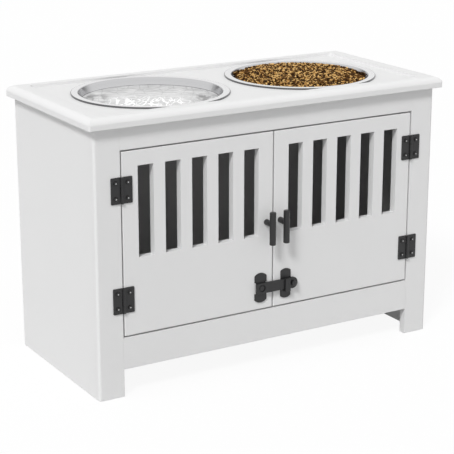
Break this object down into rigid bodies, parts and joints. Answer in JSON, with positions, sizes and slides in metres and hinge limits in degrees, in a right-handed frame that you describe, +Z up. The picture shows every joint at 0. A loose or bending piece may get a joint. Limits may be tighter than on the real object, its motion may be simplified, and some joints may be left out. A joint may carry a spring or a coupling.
{
  "type": "raised pet feeding station",
  "caption": "White raised pet feeding station: lift-out steel bowls in a recessed top, over a cabinet with slotted hinged doors, bar pulls and a drop-bar latch.",
  "frame": {"origin": "on the floor, at the middle of the whole object's footprint", "axes": "+X to the right along the front, +Y from front to back, +Z up; the doors face -Y"},
  "size_m": [0.6, 0.2976, 0.412],
  "materials": {
    "painted_board": "satin white paint over fibreboard",
    "black_metal": "satin black powder coat",
    "bowl_steel": "polished stainless steel",
    "plated_steel": "bright zinc plate",
    "plain_wood": "bare beech",
    "dry_food": null
  },
  "bodies": {
    "cabinet": {"top_board": "painted_board", "left_side_panel": "painted_board", "right_side_panel": "painted_board", "left_front_leg": "painted_board", "right_front_leg": "painted_board", "front_top_rail": "painted_board", "front_bottom_rail": "painted_board", "back_panel": "painted_board", "floor_panel": "painted_board", "door_stop": "painted_board", "rail_dowels": "plain_wood", "floor_dowels": "plain_wood", "cam_discs": "plated_steel", "cam_bolts": "plated_steel", "left_upper_frame_leaf": "black_metal", "left_lower_frame_leaf": "black_metal", "right_upper_frame_leaf": "black_metal", "right_lower_frame_leaf": "black_metal", "left_upper_hinge_pin": "black_metal", "left_lower_hinge_pin": "black_metal", "right_upper_hinge_pin": "black_metal", "right_lower_hinge_pin": "black_metal", "left_frame_hinge_screws": "black_metal", "right_frame_hinge_screws": "black_metal"},
    "left_door": {"left_door_panel": "painted_board", "left_upper_door_leaf": "black_metal", "left_lower_door_leaf": "black_metal", "left_door_hinge_screws": "black_metal", "left_pull_bar": "black_metal", "left_pull_post": "black_metal", "left_fitting_screws": "plated_steel", "latch_pivot_plate": "black_metal", "latch_rivet": "black_metal"},
    "right_door": {"right_door_panel": "painted_board", "right_upper_door_leaf": "black_metal", "right_lower_door_leaf": "black_metal", "right_door_hinge_screws": "black_metal", "right_pull_bar": "black_metal", "right_pull_post": "black_metal", "right_fitting_screws": "plated_steel", "latch_keeper": "black_metal"},
    "latch_arm": {"latch_arm": "black_metal", "latch_knob": "black_metal"},
    "left_bowl": {"left_bowl": "bowl_steel"},
    "right_bowl": {"right_bowl": "bowl_steel", "dry_food": "dry_food"}
  },
  "joints": [
    {"name": "left_door_hinge", "type": "hinge", "parent": "cabinet", "child": "left_door", "pos_m": [-0.24875, -0.12845, 0.22575], "axis": [0, 0, -1], "range_deg": [0, 160]},
    {"name": "right_door_hinge", "type": "hinge", "parent": "cabinet", "child": "right_door", "pos_m": [0.24875, -0.12845, 0.22575], "axis": [0, 0, 1], "range_deg": [0, 160]},
    {"name": "latch_arm_pivot", "type": "hinge", "parent": "left_door", "child": "latch_arm", "pos_m": [-0.022, -0.1307, 0.125], "axis": [0, -1, 0], "range_deg": [0, 180]},
    {"name": "left_bowl_lift", "type": "slide", "parent": "cabinet", "child": "left_bowl", "axis": [0, 0, 1], "range_m": [0, 0.08]},
    {"name": "right_bowl_lift", "type": "slide", "parent": "cabinet", "child": "right_bowl", "axis": [0, 0, 1], "range_m": [0, 0.08]}
  ]
}
